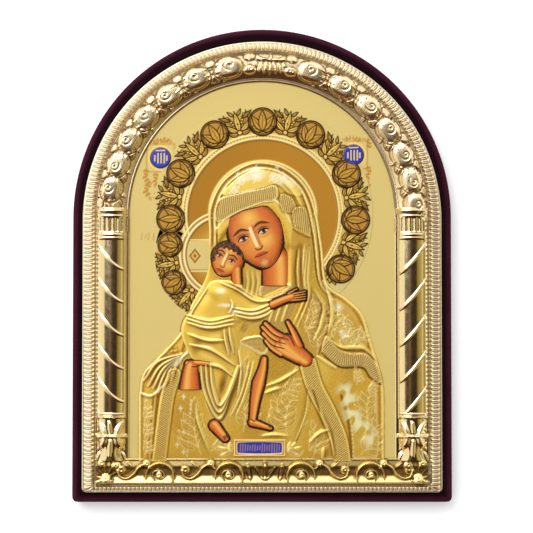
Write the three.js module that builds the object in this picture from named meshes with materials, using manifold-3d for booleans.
// Icon panel: an arched velvet board that carries an embossed gilt frame and an embossed icon plate.
// Millimetres. The panel lies on its back: X to the picture's right, Y up the picture, Z out of its face.
// The origin is the centre of the back.
import * as THREE from 'three';
import { mergeVertices } from 'three/addons/utils/BufferGeometryUtils.js';
import Module from 'manifold-3d';

const wasm = await Module();
wasm.setup();

// Board: an arch on straight sides, with a rounded front edge.
const BOARD = { halfWidth: 90, bottom: -112.5, archY: 22.5, corner: 2.5 };
const BOARD_THICKNESS = 12;
const BOARD_EDGE_ROUND = 3.2;

// Frame outlines, from the outer edge to the sight opening. Each is an arch on straight sides.
const FRAME_EDGE = { halfWidth: 85.1, bottom: -107.6, archY: 21.1, corner: 2.2 };
const BEAD_OUTER = { halfWidth: 83.9, bottom: -106.8, archY: 21.3, corner: 1.6 };
const BEAD_INNER = { halfWidth: 79.6, bottom: -104.6, archY: 22.1, corner: 0.6 };
const GROOVE = { halfWidth: 79, bottom: -104.1, archY: 22.2, corner: 0.4 };
const FLOOR_OUTER = { halfWidth: 78.4, bottom: -103.6, archY: 22.2, corner: 0 };
const BED_OUTER = { halfWidth: 75.2, bottom: -101, archY: 22, corner: 0 };
const BED_INNER = { halfWidth: 70, bottom: -97, archY: 21.9, corner: 0 };
const COVE = { halfWidth: 67, bottom: -95, archY: 22.6, corner: 0 };
const FLOOR_INNER = { halfWidth: 64.4, bottom: -93, archY: 23.5, corner: 0 };
const SIGHT_LIP = { halfWidth: 63.5, bottom: -92.2, archY: 23.8, corner: 0 };
const SIGHT = { halfWidth: 62.8, bottom: -91.7, archY: 23.9, corner: 0 };
const REBATE = { halfWidth: 65.5, bottom: -94, archY: 23.6, corner: 0 };

// Heights of the frame above the board.
const EDGE_HEIGHT = 1.4;
const FLOOR_HEIGHT = 1.6;
const SUNK_HEIGHT = 1.3;
const GROOVE_HEIGHT = 0.9;
const BEAD_VALLEY = 1.4;
const BEAD_CREST = 3;
const LIP_HEIGHT = 2;
const REBATE_HEIGHT = 1.2;
const BED_HEIGHT = 4.4;
const COVE_HEIGHT = 2.4;
const LEAF_CREST = 6;
const COLUMN_HEIGHT = 5.6;
const SCROLL_CREST = 4.6;

// Beads on each stretch of the border: bottom, right side, arch, left side. They are about 2.07 mm apart.
const BEADS = [82, 62, 125, 62];

// Columns: a half-round shaft with ribs that climb outwards, between a capital and a pedestal.
const COLUMN_X = 71.2;
const COLUMN_RADIUS = 6.9;
const SHAFT_BOTTOM = -70;
const SHAFT_TOP = 11.8;
const CAPITAL_TOP = 26.8;
const PEDESTAL_BOTTOM = -92.6;
const RIB_PITCH = 15.9;
const RIB_CLIMB = 12.4;
const RIB_HEIGHT = 1.3;

// The leaf arch: curled leaves climb both sides to a fleuron, which sits a little left of the top.
const LEAF_RADIUS = 74.2;
const LEAF_CENTRE_Y = 21.9;
const FLEURON_ANGLE = 93.1 * Math.PI / 180;
const LEAVES_PER_SIDE = 7;

// The base rail's ornament, and its middle, which sits a little right of the panel's.
const RAIL_Y = -98.2;
const RAIL_CENTRE = 1.4;

// Icon plate and the heights of its relief above the board.
const PLATE = { halfWidth: 64.6, bottom: -93.2, archY: 23.6, corner: 0 };
const PLATE_THICKNESS = 0.9;
const FIGURE_HEIGHT = 1.6;
const VEIL_HEIGHT = 2.3;
const CHILD_HEIGHT = 2.6;
const FOLD_RISE = 0.65;
const FLESH_HEIGHT = 2.4;
const HALO = { x: 0.4, y: 23.6, radius: 37.5 };
const CHILD_HALO = { x: -18.6, y: 4.6, radius: 19.6 };
const MEDALLION_REACH = 44.3;
const MEDALLION_DEGREES = [-34, -4, 26, 58, 90, 121, 153, 184, 199, 219];
const BOSSES = [[-48.2, 50.6], [43.4, 52]];
const TABLET = { left: -13.6, right: 11.4, bottom: -90.9, top: -82.2, strokes: 6 };

const DEGREE = Math.PI / 180;
const ARCH_STEPS = 20;
const CORNER_REACH = 0.02;
const SPRING_REACH = 0.03;

// Solids from vertices and triangles

// A closed body from [x, y, z] vertices and index triples. Its faces are turned outwards.
function body(vertices, triangles) {
  let volume = 0;
  for (const [a, b, c] of triangles) {
    const [p, q, r] = [vertices[a], vertices[b], vertices[c]];
    volume += p[0] * (q[1] * r[2] - q[2] * r[1])
      + p[1] * (q[2] * r[0] - q[0] * r[2])
      + p[2] * (q[0] * r[1] - q[1] * r[0]);
  }
  const facing = volume < 0 ? triangles.map(([a, b, c]) => [a, c, b]) : triangles;
  return new wasm.Manifold(new wasm.Mesh({
    numProp: 3,
    vertProperties: new Float32Array(vertices.flat()),
    triVerts: new Uint32Array(facing.flat()),
  }));
}

// A three.js geometry as a closed body, with its shared vertices merged.
function bodyFromGeometry(geometry) {
  const bare = geometry.index ? geometry.toNonIndexed() : geometry.clone();
  bare.deleteAttribute('normal');
  bare.deleteAttribute('uv');
  const merged = mergeVertices(bare, 1e-4);
  const place = merged.getAttribute('position');
  const vertices = Array.from({ length: place.count }, (_, i) => [place.getX(i), place.getY(i), place.getZ(i)]);
  const triangles = [];
  for (let i = 0; i < merged.index.count; i += 3) {
    triangles.push([merged.index.getX(i), merged.index.getX(i + 1), merged.index.getX(i + 2)]);
  }
  return body(vertices, triangles);
}

function joined(bodies) {
  return bodies.reduce((whole, next) => whole.add(next));
}

function block(x0, x1, y0, y1, z0, z1) {
  const geometry = new THREE.BoxGeometry(x1 - x0, y1 - y0, z1 - z0);
  geometry.translate((x0 + x1) / 2, (y0 + y1) / 2, (z0 + z1) / 2);
  return bodyFromGeometry(geometry);
}

// Faces of a tube through cross-section loops that all have the same number of vertices, numbered in order.
function tubeFaces(loopCount, loopSize) {
  const triangles = [];
  for (let row = 0; row < loopCount - 1; row += 1) {
    for (let i = 0; i < loopSize; i += 1) {
      const a = row * loopSize + i;
      const b = row * loopSize + (i + 1) % loopSize;
      triangles.push([a, b, b + loopSize], [a, b + loopSize, a + loopSize]);
    }
  }
  return triangles;
}

// A body lofted through loops of points, closed at both ends. flat(point) gives the end loop's plane coordinates.
function loft(loops, flat) {
  const size = loops[0].length;
  const triangles = tubeFaces(loops.length, size);
  const first = THREE.ShapeUtils.triangulateShape(loops[0].map((p) => new THREE.Vector2(...flat(p))), []);
  const last = THREE.ShapeUtils.triangulateShape(loops.at(-1).map((p) => new THREE.Vector2(...flat(p))), []);
  const start = (loops.length - 1) * size;
  const turned = signedArea(loops[0].map(flat)) > 0;
  for (const [a, b, c] of first) triangles.push(turned ? [a, c, b] : [a, b, c]);
  const turnedLast = signedArea(loops.at(-1).map(flat)) > 0;
  for (const [a, b, c] of last) {
    triangles.push(turnedLast ? [start + a, start + b, start + c] : [start + a, start + c, start + b]);
  }
  return body(loops.flat(), triangles);
}

function signedArea(points) {
  return points.reduce((sum, p, i) => {
    const q = points[(i + 1) % points.length];
    return sum + p[0] * q[1] - q[0] * p[1];
  }, 0) / 2;
}

// Outlines and rings

// A point of an arched outline. station runs 0 to 4: bottom, right side, arch and left side, anticlockwise.
function outlinePoint({ halfWidth, bottom, archY, corner }, station) {
  const stretch = Math.floor(station) % 4;
  const along = station - Math.floor(station);
  const rise = archY - bottom;
  let x = halfWidth;
  let y = bottom + rise * along;
  if (stretch === 0) {
    x = halfWidth * (2 * along - 1);
    y = bottom;
  } else if (stretch === 2) {
    x = halfWidth * Math.cos(Math.PI * along);
    y = archY + halfWidth * Math.sin(Math.PI * along);
  } else if (stretch === 3) {
    x = -halfWidth;
    y = archY - rise * along;
  }
  // Within a corner's square, the point is pulled onto the corner's arc.
  const fromX = Math.abs(x) - (halfWidth - corner);
  const fromY = bottom + corner - y;
  if (corner > 0 && fromX > 0 && fromY > 0) {
    const reach = Math.hypot(fromX, fromY);
    x = Math.sign(x) * (halfWidth - corner + corner * fromX / reach);
    y = bottom + corner - corner * fromY / reach;
  }
  return [x, y];
}

// Stations of a plain outline: its corners and the arch's ends, each with a near station, and the arch's steps.
function plainStations() {
  const stations = [0, CORNER_REACH, 1 - CORNER_REACH, 1, 1 + CORNER_REACH, 2 - SPRING_REACH];
  for (let i = 0; i <= ARCH_STEPS; i += 1) stations.push(2 + i / ARCH_STEPS);
  return [...stations, 3 + SPRING_REACH, 4 - CORNER_REACH];
}

// A ring of vertices, one for each station, where place(station) gives the vertex.
function addLoop(vertices, stations, place) {
  const first = vertices.length;
  for (const station of stations) vertices.push(place(station));
  return { first, stations };
}

// Triangles between two loops with stations of their own. The loop whose next station comes first steps on.
function stitch(triangles, lower, upper) {
  const n = lower.stations.length;
  const m = upper.stations.length;
  let i = 0;
  let j = 0;
  while (i < n || j < m) {
    const nextLower = i < n ? lower.stations[i + 1] ?? 4 : Infinity;
    const nextUpper = j < m ? upper.stations[j + 1] ?? 4 : Infinity;
    const a = lower.first + i % n;
    const b = upper.first + j % m;
    if (nextLower <= nextUpper) {
      triangles.push([a, lower.first + (i + 1) % n, b]);
      i += 1;
    } else {
      triangles.push([a, upper.first + (j + 1) % m, b]);
      j += 1;
    }
  }
}

// A slab with an arched outline, lofted through [outline, height] rows.
function arched(rows) {
  const loops = rows.map(([outline, height]) => (
    plainStations().map((station) => [...outlinePoint(outline, station), height])
  ));
  return loft(loops, ([x, y]) => [x, y]);
}

function inset(outline, distance) {
  return {
    halfWidth: outline.halfWidth - distance,
    bottom: outline.bottom + distance,
    archY: outline.archY,
    corner: Math.max(outline.corner - distance, 0.3),
  };
}

// Relief shapes, each with its foot sunk in what carries it

// A pad: an outline(angle) of unit size, stacked as [scale, height] layers and closed by a point at the top.
function pad({ x, y, turn = 0, sides = 10, outline, layers, top }) {
  const c = Math.cos(turn);
  const s = Math.sin(turn);
  const vertices = [];
  for (const [scale, height] of layers) {
    for (let i = 0; i < sides; i += 1) {
      const [u, v] = outline(2 * Math.PI * i / sides);
      vertices.push([x + scale * (u * c - v * s), y + scale * (u * s + v * c), height]);
    }
  }
  const under = vertices.push([x, y, layers[0][1]]) - 1;
  const apex = vertices.push([x, y, top]) - 1;
  const triangles = tubeFaces(layers.length, sides);
  const last = (layers.length - 1) * sides;
  for (let i = 0; i < sides; i += 1) {
    const next = (i + 1) % sides;
    triangles.push([next, i, under], [last + i, last + next, apex]);
  }
  return body(vertices, triangles);
}

// Unit outlines: an ellipse, and a leaf that is round at its root and pointed at its tip on the positive X axis.
const ellipse = (rx, ry) => (angle) => [rx * Math.cos(angle), ry * Math.sin(angle)];
const leaf = (length, width) => (angle) => [
  length / 2 * (1 + Math.cos(angle)),
  width / 2 * Math.sin(angle) * (1 - 0.45 * Math.cos(angle)),
];

// A ridge of triangular section along path(u), u from 0 to 1, with its width and crest as functions of u.
function ridge({ path, width, crest, foot, steps }) {
  const loops = [];
  for (let i = 0; i <= steps; i += 1) {
    const u = i / steps;
    const [x, y] = path(u);
    const [x0, y0] = path(Math.max(u - 0.01, 0));
    const [x1, y1] = path(Math.min(u + 0.01, 1));
    const length = Math.hypot(x1 - x0, y1 - y0);
    const half = width(u) / 2;
    const side = [-(y1 - y0) / length * half, (x1 - x0) / length * half];
    loops.push([[x - side[0], y - side[1], foot], [x + side[0], y + side[1], foot], [x, y, crest(u)]]);
  }
  const triangles = tubeFaces(loops.length, 3);
  const last = steps * 3;
  triangles.push([2, 1, 0], [last, last + 1, last + 2]);
  return body(loops.flat(), triangles);
}

const arc = (x, y, radius, from, to) => (u) => {
  const angle = from + (to - from) * u;
  return [x + radius * Math.cos(angle), y + radius * Math.sin(angle)];
};
const line = (x0, y0, x1, y1) => (u) => [x0 + (x1 - x0) * u, y0 + (y1 - y0) * u];
const through = (points, closed = false) => {
  const curve = new THREE.CatmullRomCurve3(points.map(([x, y]) => new THREE.Vector3(x, y, 0)), closed);
  return (u) => {
    const p = curve.getPointAt(u);
    return [p.x, p.y];
  };
};

// A relief with a smooth outline through points, stacked as [inset, height] layers from its sunk foot.
function relief({ points, samples, layers }) {
  const path = through(points, true);
  const outline = Array.from({ length: samples }, (_, i) => path(i / samples));
  const turn = Math.sign(signedArea(outline));
  const loops = layers.map(([distance, height]) => outline.map(([x, y], i) => {
    const [x0, y0] = outline.at(i - 1);
    const [x1, y1] = outline[(i + 1) % samples];
    const shift = turn * distance / Math.hypot(x1 - x0, y1 - y0);
    return [x - shift * (y1 - y0), y + shift * (x1 - x0), height];
  }));
  return loft(loops, ([x, y]) => [x, y]);
}

// A fold of cloth: a ridge that thins towards both ends.
function fold(points, base, steps = 3, thick = 2.6) {
  return ridge({
    path: through(points), width: (u) => thick * (0.3 + 2.8 * u * (1 - u)), crest: () => base + FOLD_RISE,
    foot: base - 0.1, steps,
  });
}

// The board

function makeBoard() {
  const roundSteps = 2;
  const rows = [[inset(BOARD, 0.8), 0], [BOARD, 0.8]];
  for (let i = 0; i <= roundSteps; i += 1) {
    const angle = Math.PI / 2 * i / roundSteps;
    const pulled = BOARD_EDGE_ROUND * (1 - Math.cos(angle));
    rows.push([inset(BOARD, pulled), BOARD_THICKNESS - BOARD_EDGE_ROUND * (1 - Math.sin(angle))]);
  }
  return arched(rows);
}

// The frame

const above = (height) => BOARD_THICKNESS + height;

// The frame's ring: a raised edge, the row of beads, a groove, the floor, and the lip round the sight opening.
// Round the arch the floor rises to the bed of the leaves, and a cove falls from it to the lip.
function makeFrameRing() {
  const vertices = [];
  const triangles = [];
  const row = (outline, height, archHeight = height) => addLoop(vertices, plainStations(), (station) => [
    ...outlinePoint(outline, station), above(station >= 2 && station <= 3 ? archHeight : height),
  ]);
  const foot = row(FRAME_EDGE, 0);
  const edge = row(inset(FRAME_EDGE, 0.2), EDGE_HEIGHT);
  const [valleyOuter, valleyInner] = addBeads(vertices, triangles);
  const inner = [
    row(GROOVE, GROOVE_HEIGHT), row(FLOOR_OUTER, FLOOR_HEIGHT, FLOOR_HEIGHT + 0.6),
    row(BED_OUTER, FLOOR_HEIGHT, BED_HEIGHT), row(BED_INNER, FLOOR_HEIGHT, BED_HEIGHT),
    row(COVE, FLOOR_HEIGHT, COVE_HEIGHT), row(FLOOR_INNER, FLOOR_HEIGHT), row(SIGHT_LIP, LIP_HEIGHT),
    row(SIGHT, LIP_HEIGHT - 0.3), row(SIGHT, REBATE_HEIGHT), row(REBATE, REBATE_HEIGHT), row(REBATE, 0),
  ];
  stitch(triangles, foot, edge);
  stitch(triangles, edge, valleyOuter);
  let previous = valleyInner;
  for (const loop of [...inner, foot]) {
    stitch(triangles, previous, loop);
    previous = loop;
  }
  return body(vertices, triangles);
}

// Stations of the border's valleys: the mitred corners, and even steps along the stretches between them.
function valleyStations() {
  const [bottom, right, arch, left] = BEADS;
  const even = (count, from, to) => Array.from({ length: count }, (_, i) => from + (to - from) * i / count);
  return [
    0, ...even(bottom, CORNER_REACH, 1 - CORNER_REACH), 1 - CORNER_REACH,
    1, ...even(right, 1 + CORNER_REACH, 2),
    ...even(arch, 2, 3),
    ...even(left, 3, 4 - CORNER_REACH), 4 - CORNER_REACH,
  ];
}

// A point of the border. reach runs from 0 at its outer outline to 1 at its inner one. Between the corners, points
// of equal station stand square to the edge, so the beads do too.
function borderPoint(reach, station) {
  const mix = (key) => BEAD_OUTER[key] + (BEAD_INNER[key] - BEAD_OUTER[key]) * reach;
  const [halfWidth, bottom, archY] = [mix('halfWidth'), mix('bottom'), mix('archY')];
  const stretch = Math.floor(station) % 4;
  if (stretch === 2) return outlinePoint({ halfWidth, bottom, archY, corner: 0 }, station);
  const along = station - Math.floor(station);
  const [cornerX, cornerY] = [BEAD_INNER.halfWidth - 0.5, BEAD_INNER.bottom + 0.5];
  if (stretch === 0) {
    const square = cornerX * Math.min(Math.max((2 * along - 1) / (1 - 2 * CORNER_REACH), -1), 1);
    const nearCorner = Math.max(0, 1 - Math.min(along, 1 - along) / CORNER_REACH);
    return [square + Math.sign(square) * (halfWidth - cornerX) * nearCorner, bottom];
  }
  const up = stretch === 1 ? along : 1 - along;
  const square = cornerY + (archY - cornerY) * Math.max(0, (up - CORNER_REACH) / (1 - CORNER_REACH));
  const nearCorner = Math.max(0, 1 - up / CORNER_REACH);
  return [stretch === 1 ? halfWidth : -halfWidth, square - (cornerY - bottom) * nearCorner];
}

// The border: each bead is a crest across the band, between two valleys that it shares with its neighbours.
function addBeads(vertices, triangles) {
  const valleys = valleyStations();
  const crests = valleys.map((valley, i) => (valley + (valleys[i + 1] ?? 4)) / 2);
  const loop = (stations, reach, height) => addLoop(vertices, stations, (station) => [
    ...borderPoint(reach, station), above(height),
  ]);
  const outer = loop(valleys, 0, BEAD_VALLEY);
  const inner = loop(valleys, 1, BEAD_VALLEY);
  const crestOuter = loop(crests, 0.16, BEAD_CREST);
  const crestInner = loop(crests, 0.84, BEAD_CREST);
  for (let i = 0; i < valleys.length; i += 1) {
    const next = (i + 1) % valleys.length;
    const [a, b] = [outer.first + i, outer.first + next];
    const [c, d] = [inner.first + i, inner.first + next];
    const [p, q] = [crestOuter.first + i, crestInner.first + i];
    triangles.push([a, b, p], [d, c, q], [a, p, q], [a, q, c], [p, b, d], [p, d, q]);
  }
  return [outer, inner];
}

// Angle between the fleuron and leaf i on either side of it.
const leafOffset = (i) => (15.5 + 13.4 * i - 0.38 * i * i) * DEGREE;

function archPlace(angle, radius = LEAF_RADIUS) {
  return [radius * Math.cos(angle), LEAF_CENTRE_Y + radius * Math.sin(angle)];
}

// One curled leaf: a rounded shell that leans back along the arch, and the scroll boss that it wraps.
function makeCurledLeaf(angle, side) {
  const [x, y] = archPlace(angle + side * 0.02, LEAF_RADIUS + 0.4);
  const foot = above(BED_HEIGHT - 1.4);
  const shell = pad({
    x, y, turn: angle + side * (Math.PI / 2 + 0.4), sides: 6, outline: ellipse(5.4, 4.5),
    layers: [[1, foot], [0.8, above(LEAF_CREST - 0.9)]], top: above(LEAF_CREST - 0.6),
  });
  const [eyeX, eyeY] = archPlace(angle - side * 0.018, LEAF_RADIUS - 0.8);
  const eye = pad({
    x: eyeX, y: eyeY, sides: 4, outline: ellipse(1, 1), layers: [[2.4, foot], [1.9, above(LEAF_CREST)]],
    top: above(LEAF_CREST + 0.3),
  });
  return shell.add(eye);
}

// The fleuron: a cross of four petals, and three leaf tips that hang below it.
function makeFleuron() {
  const [x, y] = archPlace(FLEURON_ANGLE, LEAF_RADIUS + 1.6);
  const foot = above(BED_HEIGHT - 1.8);
  const petal = (turn, length, width, rootX, rootY) => pad({
    x: rootX, y: rootY, turn, sides: 6, outline: leaf(length, width),
    layers: [[1, foot], [0.7, above(LEAF_CREST - 0.8)]], top: above(LEAF_CREST - 0.4),
  });
  const petals = [0, 1, 2, 3].map((quarter) => {
    const turn = quarter * Math.PI / 2;
    return petal(turn, quarter % 2 ? 4 : 10, 3.4, x + Math.cos(turn), y + 0.6 * Math.sin(turn));
  });
  const tips = [-1, 1].map((side) => petal(-Math.PI / 2 + 0.2 * side, 5, 3, x + 5 * side, y - 2.4));
  return joined([...petals, ...tips]);
}

// A column shaft: half-round loops in sheared rows, so that every rib runs along the rows. side is -1 or 1.
function makeShaft(side) {
  const arcSteps = 5;
  const profile = [[0, 0], [0.58, 0], [0.79, RIB_HEIGHT]];
  const loops = [];
  const start = SHAFT_BOTTOM - RIB_CLIMB - RIB_PITCH;
  const ribs = Math.ceil((SHAFT_TOP - start + RIB_CLIMB) / RIB_PITCH);
  for (let k = 0; k < ribs * profile.length; k += 1) {
    const [fraction, bulge] = profile[k % profile.length];
    const y = start + RIB_PITCH * (Math.floor(k / profile.length) + fraction);
    const section = [];
    const reach = COLUMN_RADIUS - RIB_HEIGHT + bulge;
    for (let i = 0; i <= arcSteps; i += 1) {
      const angle = Math.PI * i / arcSteps;
      const across = Math.cos(angle);
      section.push([
        side * COLUMN_X + reach * across,
        y + RIB_CLIMB * (1 + side * across) / 2,
        above(FLOOR_HEIGHT + (COLUMN_HEIGHT - FLOOR_HEIGHT) * Math.sin(angle) * reach / COLUMN_RADIUS),
      ]);
    }
    for (const across of [-1, 1]) {
      const climb = RIB_CLIMB * (1 + side * across) / 2;
      section.push([side * COLUMN_X + reach * across, y + climb, above(SUNK_HEIGHT)]);
    }
    loops.push(section);
  }
  const whole = loft(loops, ([x, , z]) => [x, z]);
  const room = COLUMN_RADIUS + 1;
  const [left, right] = [side * COLUMN_X - room, side * COLUMN_X + room];
  return whole.intersect(block(left, right, SHAFT_BOTTOM - 0.5, SHAFT_TOP + 0.5, 0, above(COLUMN_HEIGHT + 2)));
}

// A band across a column: a bar with a rounded top, from yLow to yHigh.
function columnBand(side, halfWidth, yLow, yHigh, crest) {
  const centre = side * COLUMN_X;
  const slope = 0.25;
  const sections = [[-1, 2.4], [-0.6, crest], [0.6, crest], [1, 2.4]].map(([across, height]) => [
    [yLow, SUNK_HEIGHT], [yLow + slope, height], [yHigh - slope, height], [yHigh, SUNK_HEIGHT],
  ].map(([y, z]) => [centre + halfWidth * across, y, above(z)]));
  return loft(sections, ([, y, z]) => [y, z]);
}

function makeCapital(side) {
  const fluteCount = 5;
  const bands = [
    columnBand(side, 7.6, 24.2, CAPITAL_TOP, COLUMN_HEIGHT + 0.9),
    columnBand(side, 7, 22.2, 23.5, COLUMN_HEIGHT + 0.3),
    columnBand(side, 6.6, 14.6, 22.6, COLUMN_HEIGHT - 0.7),
    columnBand(side, 7.2, SHAFT_TOP - 0.2, 14.4, COLUMN_HEIGHT + 0.4),
  ];
  const flutes = Array.from({ length: fluteCount }, (_, i) => {
    const across = (i - (fluteCount - 1) / 2) / ((fluteCount - 1) / 2);
    const x = side * COLUMN_X + 5.6 * across;
    return ridge({
      path: line(x, 14.8, x + 0.5 * across, 22), width: () => 2.2,
      crest: () => above(COLUMN_HEIGHT + 0.3 - 1.9 * across * across), foot: above(SUNK_HEIGHT), steps: 1,
    });
  });
  return joined([...bands, ...flutes]);
}

// A pedestal: a block with a spine, a cross bar, and four leaves that spread from where they meet.
function makePedestal(side) {
  const centre = side * COLUMN_X;
  const barY = -81;
  const parts = [
    columnBand(side, 7.5, -72.6, SHAFT_BOTTOM + 0.2, COLUMN_HEIGHT + 0.5),
    columnBand(side, 6.8, PEDESTAL_BOTTOM, -72.8, COLUMN_HEIGHT - 1.6),
    columnBand(side, 7.2, barY - 1, barY + 1, COLUMN_HEIGHT - 0.4),
    ridge({
      path: line(centre, PEDESTAL_BOTTOM + 2, centre, -73.4), width: () => 2, crest: () => above(COLUMN_HEIGHT),
      foot: above(SUNK_HEIGHT), steps: 1,
    }),
  ];
  for (const degrees of [48, 132, 228, 312]) {
    const turn = degrees * DEGREE;
    const root = 1.6;
    parts.push(pad({
      x: centre + root * Math.cos(turn), y: barY + root * Math.sin(turn), turn, sides: 5,
      outline: leaf(8.4, 4.4),
      layers: [[1, above(SUNK_HEIGHT)], [0.72, above(COLUMN_HEIGHT - 0.6)]], top: above(COLUMN_HEIGHT - 0.2),
    }));
  }
  return joined(parts);
}

// The base rail: a ledge, four great arcs round volutes, waves between them, a palmette, buds and rosettes.
function makeBaseRail() {
  const foot = above(SUNK_HEIGHT);
  const scroll = (path, steps, thick) => ridge({
    path, width: (u) => thick * (1 - 0.35 * u), crest: () => above(SCROLL_CREST), foot, steps,
  });
  const button = (x, radius, height, sides) => pad({
    x, y: RAIL_Y, sides, outline: ellipse(radius, radius), layers: [[1, foot], [0.8, above(height)]],
    top: above(height + 0.4),
  });
  const petal = (x, lean, length, width) => pad({
    x, y: RAIL_Y - 3.4, turn: Math.PI / 2 - lean, sides: 6, outline: leaf(length, width),
    layers: [[1, foot], [0.7, above(SCROLL_CREST - 0.6)]], top: above(SCROLL_CREST),
  });
  const parts = [
    ridge({ path: line(-66, -101.6, 66, -101.6), width: () => 3.6, crest: () => above(3.2), foot, steps: 1 }),
    petal(RAIL_CENTRE, 0, 8.4, 3.4),
  ];
  for (const side of [-1, 1]) {
    const at = (distance) => RAIL_CENTRE + side * distance;
    const inward = side > 0 ? Math.PI : 0;
    parts.push(petal(at(2.6), side * 0.7, 6, 3), petal(at(9), -side * 0.15, 8.4, 4.6));
    for (const distance of [17, 49.8]) {
      parts.push(scroll(arc(at(distance), RAIL_Y - 1.2, 5.4, inward, inward - side * Math.PI), 4, 2.8));
      parts.push(button(at(distance), 2, 3.4, 5));
    }
    for (const distance of [33.4, 64]) {
      const wave = [[-9, 2.6], [-5.4, 4], [-2.4, 0.6], [1.6, -1.8], [5.6, 1]];
      parts.push(scroll(through(wave.map(([along, up]) => [at(distance + along), RAIL_Y + up])), 4, 2.6));
    }
    parts.push(button(side * 74, 5, 3.2, 6), button(side * 74, 1.9, SCROLL_CREST, 5));
  }
  return joined(parts);
}

function makeFrame() {
  const parts = [makeFrameRing(), makeFleuron(), makeBaseRail()];
  for (const side of [-1, 1]) {
    parts.push(makeShaft(side), makeCapital(side), makePedestal(side));
    for (let i = 0; i < LEAVES_PER_SIDE; i += 1) {
      parts.push(makeCurledLeaf(FLEURON_ANGLE - side * leafOffset(i), side));
    }
  }
  return joined(parts);
}

// The icon plate

const GROUND = above(PLATE_THICKNESS);

// Raised cords round the two halos, and the wreath of medallions and leaf knots round the greater one.
function makeHalos() {
  const cord = ({ x, y, radius }, from, to, steps) => ridge({
    path: arc(x, y, radius, from * DEGREE, to * DEGREE), width: () => 2, crest: () => GROUND + 0.8,
    foot: GROUND - 0.4, steps,
  });
  const knot = (degrees, reach, radius, sides) => pad({
    x: HALO.x + reach * Math.cos(degrees * DEGREE), y: HALO.y + reach * Math.sin(degrees * DEGREE), sides,
    outline: ellipse(radius, radius), layers: [[1, GROUND - 0.3], [0.82, GROUND + 0.7]], top: GROUND + 0.95,
  });
  const parts = [cord(HALO, -33, 213, 18), cord(CHILD_HALO, 95, 232, 7)];
  MEDALLION_DEGREES.forEach((degrees, i) => {
    parts.push(knot(degrees, MEDALLION_REACH, 6.2, 6));
    const next = MEDALLION_DEGREES[i + 1];
    if (next - degrees > 20) parts.push(knot((degrees + next) / 2, MEDALLION_REACH - 1, 3, 4));
  });
  return joined(parts);
}

// The woman: a silhouette that the plate's foot cuts off, the veil round her face, her cloak's borders, and folds.
function makeWoman() {
  const silhouette = relief({
    points: [
      [-58.4, -95], [-58.4, -62], [-56, -51], [-46, -40.5], [-38, -31], [-33, -18], [-26, -4], [-25.2, 14],
      [-25, 27], [-19, 39.5], [-8, 47.4], [2, 48.6], [12, 45.4], [21, 37], [25.8, 25], [28.6, 8],
      [31, -9], [40, -16.2], [47.4, -23.6], [51.6, -36], [57, -55], [57.8, -68], [57.8, -95],
    ],
    samples: 34, layers: [[0, GROUND - 0.4], [1.2, above(FIGURE_HEIGHT)]],
  });
  const veil = relief({
    points: [
      [-25, 10], [-24.6, 27], [-18.4, 39], [-8, 46.4], [2, 47.6], [12, 44.4], [20.4, 36.4], [25, 25], [27.6, 8],
      [30, -10], [33, -24], [29, -37], [22, -28], [17.8, -14], [17.2, 2], [15.4, 14], [10, 24], [2, 28.6], [-8, 26],
      [-16.6, 21.4], [-20.6, 13],
    ],
    samples: 28, layers: [[0, above(FIGURE_HEIGHT - 0.4)], [1.1, above(VEIL_HEIGHT)]],
  });
  const border = (points, steps) => ridge({
    path: through(points), width: () => 6.4, crest: () => above(VEIL_HEIGHT + 0.4), foot: GROUND, steps,
  });
  const borders = [
    border([[28, -38], [36, -43.4], [45, -45], [55, -53]], 4), border([[-36.5, -47], [-42, -66], [-48.6, -92]], 2),
    border([[27, -48], [31, -64], [35.6, -78], [36.6, -92]], 3),
  ];
  const veilFolds = [
    [[-19, 27], [-12, 34], [-1, 37.4], [8, 34]], [[13, 30], [19.6, 18], [21, 0], [21, -22]],
    [[22, 30], [25, 12], [26, -10], [29, -30]], [[-14, 40], [-3, 43.6], [9, 41]],
  ].map((points) => fold(points, above(VEIL_HEIGHT)));
  const robeFolds = [
    [[-37, -33], [-46, -44], [-55, -57]], [[-36, -37], [-43.6, -47], [-51, -60]], [[-35, -42], [-41, -51], [-46, -61]],
    [[-55.6, -63], [-54.6, -78], [-55, -93]], [[36, -19], [44.6, -31], [49.6, -42]], [[34, -26], [38, -34], [40, -41]],
    [[-8, -48], [-10.4, -66], [-17, -80]], [[13, -50], [9.6, -64], [10.6, -80]], [[21, -50], [22.6, -66], [27, -80]],
    [[50, -57], [46.6, -72], [50, -91]], [[41, -52], [41, -66], [44.6, -84]], [[-33, -62], [-32, -76], [-36, -91]],
  ].map((points) => fold(points, above(FIGURE_HEIGHT), 2, 3.4));
  return joined([silhouette, veil, ...borders, ...veilFolds, ...robeFolds]);
}

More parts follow.
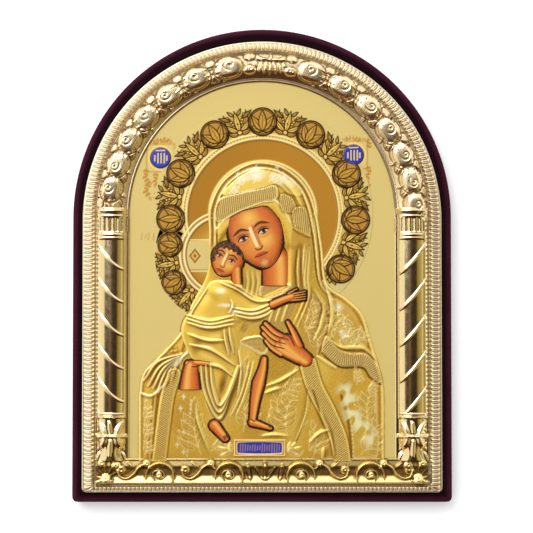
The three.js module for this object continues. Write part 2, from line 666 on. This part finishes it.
// The child: one draped outline, with folds across the waist and hanging folds below.
function makeChild() {
  const outline = relief({
    points: [
      [-10.6, -9], [-8, -13], [2, -16.4], [8, -15.6], [6, -21], [1, -26.6], [-6, -31], [-10, -40], [-8, -52],
      [-12, -64], [-19, -75], [-26, -68], [-28.6, -56], [-33, -45], [-37.4, -35], [-37, -27], [-30, -17],
      [-24.6, -8.6], [-17.6, -7.4],
    ],
    samples: 24, layers: [[0, above(FIGURE_HEIGHT - 0.4)], [1.4, above(CHILD_HEIGHT)]],
  });
  const base = above(CHILD_HEIGHT);
  const waist = [0, 1, 2].map((i) => fold(
    [[-36 + i, -25.6 - 3 * i], [-24, -27.6 - 2.4 * i], [-13, -25.6 - 2 * i], [-2 - i, -24 - 2 * i]], base, 3, 2.4,
  ));
  const hanging = [0, 1, 2].map((i) => fold(
    [[-27.6 + 3 * i, -47], [-26 + 2.4 * i, -61 + 2 * i], [-19.4, -72 + 4 * i], [-13.4 - 1.4 * i, -56]], base, 4, 2.2,
  ));
  const sleeve = [[[-23, -11], [-12, -14.6], [3, -19]], [[-29, -20], [-18, -20], [-4, -21]]];
  const leg = [[[-33, -36], [-29, -44], [-27, -52]], [[-15, -34], [-12, -44], [-11, -55]]];
  return joined([outline, ...waist, ...hanging, ...[...sleeve, ...leg].map((points) => fold(points, base, 2))]);
}

// A head: an oval dome, tilted by degrees, with a nose from its middle and lips below it.
function makeHead(x, y, tilt, rx, ry, sides) {
  const turn = tilt * DEGREE;
  const place = (across, up) => [
    x + rx * across * Math.cos(turn) - ry * up * Math.sin(turn),
    y + rx * across * Math.sin(turn) + ry * up * Math.cos(turn),
  ];
  const feature = (from, to, thick, rise) => ridge({
    path: line(...place(...from), ...place(...to)), width: () => thick * rx, crest: () => above(FLESH_HEIGHT + rise),
    foot: GROUND, steps: 1,
  });
  return joined([
    pad({
      x, y, turn, sides, outline: ellipse(rx, ry),
      layers: [[1, GROUND - 0.3], [0.86, above(FLESH_HEIGHT - 0.5)]], top: above(FLESH_HEIGHT),
    }),
    feature([0, 0.14], [0, -0.26], 0.2, 0.5), feature([-0.22, -0.48], [0.22, -0.48], 0.2, 0.2),
  ]);
}

// Heads, neck, hands, legs and feet.
function makeFlesh() {
  const dome = (x, y, turn, rx, ry, sides) => pad({
    x, y, turn: turn * DEGREE, sides, outline: ellipse(rx, ry),
    layers: [[1, GROUND - 0.3], [0.8, above(FLESH_HEIGHT)]], top: above(FLESH_HEIGHT + 0.4),
  });
  const limb = (points, thick, steps) => ridge({
    path: through(points), width: thick, crest: () => above(FLESH_HEIGHT + 0.8), foot: GROUND, steps,
  });
  const finger = (x0, y0, x1, y1) => limb([[x0, y0], [x1, y1]], (u) => 3 - 0.9 * u, 1);
  const nearHand = [0, 1, 2, 3].map((i) => finger(12 - 0.6 * i, -35 - 2.6 * i, 1.4 - 0.5 * i, -27.6 - 2.6 * i));
  return joined([
    makeHead(-1.4, 12.4, 22, 13, 15.6, 12),
    makeHead(-16.4, 2.4, -24, 8.2, 8.8, 8),
    dome(7, -6.8, 0, 6, 4.6, 7),
    dome(14.4, -41, -52, 7.4, 6, 8), ...nearHand, finger(16.4, -37, 12, -27),
    dome(-34.4, -53, 10, 4.4, 6.4, 8), finger(-34, -47, -25.4, -46.6), finger(-33, -50.4, -26.4, -49.4),
    limb([[7, -17.6], [13, -16], [20.4, -14.2]], (u) => 3.8 - 1.2 * u, 3),
    limb([[-1.4, -46], [-2.6, -58], [-3.6, -73]], (u) => 7 - 2.6 * u, 3),
    limb([[-5, -74.4], [-1, -76.2], [4.6, -77.8]], () => 3.8, 2),
    limb([[-23, -75.6], [-19.6, -79.6], [-17, -83]], () => 5.4, 2),
  ]);
}

// Two round bosses beside the halo, and the tablet at the foot: a raised rim round a row of plain strokes.
function makeBosses() {
  const bosses = BOSSES.map(([x, y]) => pad({
    x, y, sides: 9, outline: ellipse(1, 1), layers: [[5.2, GROUND - 0.3], [4.8, GROUND + 0.5]], top: GROUND + 0.6,
  }));
  const { left, right, bottom, top, strokes } = TABLET;
  const bar = (points, width, rise) => ridge({
    path: line(...points), width: () => width, crest: () => above(VEIL_HEIGHT + rise), foot: GROUND, steps: 1,
  });
  const rim = [
    [left, bottom, right, bottom], [left, top, right, top], [left, bottom, left, top], [right, bottom, right, top],
  ];
  const pitch = (right - left) / (strokes + 1);
  const places = Array.from({ length: strokes }, (_, i) => left + pitch * (i + 1));
  return joined([
    ...bosses,
    block(left, right, bottom, top, GROUND - 0.3, above(VEIL_HEIGHT - 0.2)),
    ...rim.map((points) => bar(points, 2.2, 0.7)),
    ...places.map((x) => bar([x, bottom + 2.6, x, top - 2.6], 1.4, 0.4)),
  ]);
}

function makePlate() {
  const slab = arched([[PLATE, above(0)], [PLATE, GROUND]]);
  const raised = joined([makeHalos(), makeWoman(), makeChild(), makeFlesh(), makeBosses()]);
  const clear = { ...inset(SIGHT, 0.3), corner: 0 };
  const room = arched([[clear, above(0.2)], [clear, above(CHILD_HEIGHT + 2)]]);
  return slab.add(raised.intersect(room));
}

// The scene graph

function mesh(name, solid, colour, roughness, metalness) {
  const { vertProperties, triVerts } = solid.getMesh();
  const geometry = new THREE.BufferGeometry();
  geometry.setAttribute('position', new THREE.BufferAttribute(vertProperties, 3));
  geometry.setIndex(new THREE.BufferAttribute(triVerts, 1));
  geometry.computeVertexNormals();
  const made = new THREE.Mesh(geometry, new THREE.MeshStandardMaterial({ color: colour, roughness, metalness }));
  made.name = name;
  return made;
}

const group = new THREE.Group();
group.add(mesh('velvet_board', makeBoard(), 0x3c0f24, 0.95, 0));
group.add(mesh('gilt_frame', makeFrame(), 0xd9b872, 0.28, 1));
group.add(mesh('icon_plate', makePlate(), 0xd9b45a, 0.35, 0.9));

export default group;
